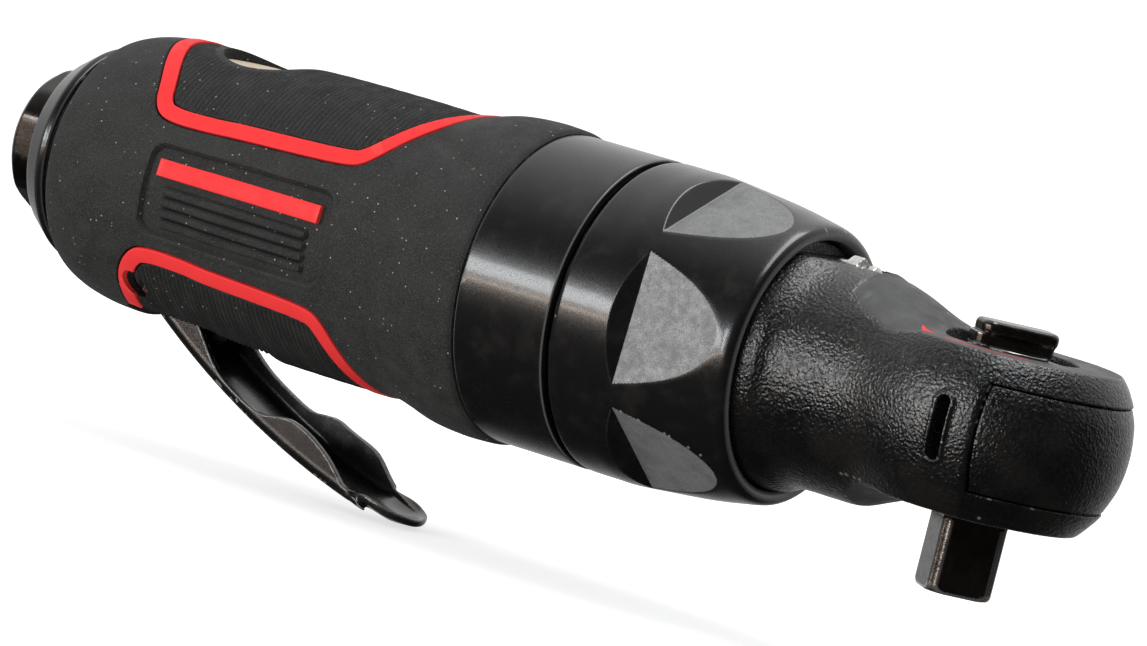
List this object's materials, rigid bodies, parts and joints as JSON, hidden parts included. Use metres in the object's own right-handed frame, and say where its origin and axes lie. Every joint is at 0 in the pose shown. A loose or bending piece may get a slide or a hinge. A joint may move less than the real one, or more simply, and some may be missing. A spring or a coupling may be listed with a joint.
{
  "type": "air ratchet",
  "caption": "Compact pneumatic ratchet wrench with a round head, square drive, rotary reversing knob, faceted clamp collar, rubber-booted grip, throttle lever and threaded rear air inlet.",
  "frame": {"origin": "centre of the drive square's end face", "axes": "+X along the tool's long axis from the air inlet to the head, +Z along the drive axis from the square to the reversing knob"},
  "size_m": [0.1907, 0.048, 0.0641],
  "materials": {
    "wrinkle_black": "black wrinkle coat",
    "gloss_black": "gloss black",
    "dark_steel": "blackened steel",
    "bright_steel": "bright",
    "bearing_steel": "ground",
    "rubber": "matte",
    "red_rubber": "matte",
    "seal_rubber": "matte",
    "plate_tan": "coated",
    "vane_fibre": "matte",
    "felt": "felt",
    "bronze": "plain"
  },
  "bodies": {
    "housing": {"ratchet_housing": "wrinkle_black", "retaining_ring": "bright_steel", "grease_fitting": "bright_steel", "crank_bearing": "bearing_steel", "crank_bushing": "bronze", "ring_gear": "bearing_steel", "head_o_ring": "seal_rubber", "rear_end_plate": "bearing_steel", "rear_bearing": "bright_steel", "motor_cylinder": "bearing_steel", "front_end_plate": "bearing_steel", "front_bearing": "bright_steel", "motor_housing": "gloss_black", "clamp_collar": "gloss_black", "collar_washer": "seal_rubber", "air_inlet": "dark_steel", "exhaust_deflector": "dark_steel", "boot": "rubber", "boot_trim_upper": "red_rubber", "boot_trim_lower": "red_rubber", "accent_bar_near": "red_rubber", "accent_bar_far": "red_rubber", "rating_plate": "plate_tan", "lever_pin": "bright_steel", "plunger_guide": "bronze", "plunger_o_ring": "seal_rubber", "valve_seat": "bronze", "valve_spring": "bright_steel", "exhaust_silencer": "felt", "inlet_screen": "bearing_steel"},
    "yoke": {"yoke": "wrinkle_black"},
    "anvil": {"drive_anvil": "dark_steel", "pawl_pin": "bearing_steel", "thrust_washer": "bearing_steel", "socket_ball": "bright_steel"},
    "selector": {"reverse_knob": "dark_steel", "selector_plunger": "bright_steel", "selector_spring": "bright_steel"},
    "pawl": {"pawl": "bearing_steel"},
    "lever": {"throttle_lever": "gloss_black"},
    "plunger": {"throttle_plunger": "bearing_steel"},
    "ball": {"valve_ball": "bright_steel"},
    "rotor": {"rotor": "bearing_steel", "rotor_vane_1": "vane_fibre", "rotor_vane_2": "vane_fibre", "rotor_vane_3": "vane_fibre", "rotor_vane_4": "vane_fibre", "rotor_vane_5": "vane_fibre"},
    "crank": {"crankshaft": "bearing_steel", "crank_roller": "bearing_steel", "planet_pin_1": "bright_steel", "planet_pin_2": "bright_steel", "planet_pin_3": "bright_steel"},
    "planet_1": {"planet_gear_1": "bearing_steel"},
    "planet_2": {"planet_gear_2": "bearing_steel"},
    "planet_3": {"planet_gear_3": "bearing_steel"}
  },
  "joints": [
    {"name": "throttle_lever_swing", "type": "hinge", "parent": "housing", "child": "lever", "pos_m": [-0.1395, 0, 0.0087], "axis": [0, -1, 0], "range_deg": [0, 13], "stiffness_Nm_per_rad": 0.3, "springref_deg": -5.73},
    {"name": "throttle_plunger_lift", "type": "slide", "parent": "housing", "child": "plunger", "axis": [0, 0, 1], "range_m": [0, 0.0019]},
    {"name": "valve_ball_lift", "type": "slide", "parent": "housing", "child": "ball", "axis": [0, 0, 1], "range_m": [0, 0.0019], "deforming": ["valve_spring"]},
    {"name": "drive_turn", "type": "hinge", "parent": "housing", "child": "anvil", "pos_m": [0, 0, 0], "axis": [0, 0, 1], "continuous": true},
    {"name": "reverse_knob_turn", "type": "hinge", "parent": "anvil", "child": "selector", "pos_m": [0, 0, 0.037], "axis": [0, 0, 1], "range_deg": [0, 90]},
    {"name": "pawl_tilt", "type": "hinge", "parent": "anvil", "child": "pawl", "pos_m": [0.0059, 0, 0.0235], "axis": [0, 0, 1], "range_deg": [-12, 0]},
    {"name": "yoke_swing", "type": "hinge", "parent": "housing", "child": "yoke", "pos_m": [0, 0, 0.0238], "axis": [0, 0, 1], "range_deg": [0, 11.48]},
    {"name": "rotor_spin", "type": "hinge", "parent": "housing", "child": "rotor", "pos_m": [-0.099, 0, 0.0245], "axis": [1, 0, 0], "continuous": true},
    {"name": "crank_spin", "type": "hinge", "parent": "housing", "child": "crank", "pos_m": [-0.045, 0, 0.0245], "axis": [1, 0, 0], "continuous": true},
    {"name": "planet_1_spin", "type": "hinge", "parent": "crank", "child": "planet_1", "pos_m": [-0.0724, 0.0084, 0.0245], "axis": [1, 0, 0], "continuous": true},
    {"name": "planet_2_spin", "type": "hinge", "parent": "crank", "child": "planet_2", "pos_m": [-0.0724, -0.0042, 0.03177], "axis": [1, 0, 0], "continuous": true},
    {"name": "planet_3_spin", "type": "hinge", "parent": "crank", "child": "planet_3", "pos_m": [-0.0724, -0.0042, 0.01723], "axis": [1, 0, 0], "continuous": true}
  ],
  "couplings": [
    {"joint": "throttle_plunger_lift", "follows": "throttle_lever_swing", "m_per_rad": 0.0082},
    {"joint": "valve_ball_lift", "follows": "throttle_lever_swing", "m_per_rad": 0.0082},
    {"joint": "pawl_tilt", "follows": "reverse_knob_turn", "ratio": -0.1333},
    {"joint": "crank_spin", "follows": "rotor_spin", "ratio": 0.21429},
    {"joint": "planet_1_spin", "follows": "rotor_spin", "ratio": -0.58929},
    {"joint": "planet_2_spin", "follows": "rotor_spin", "ratio": -0.58929},
    {"joint": "planet_3_spin", "follows": "rotor_spin", "ratio": -0.58929}
  ]
}
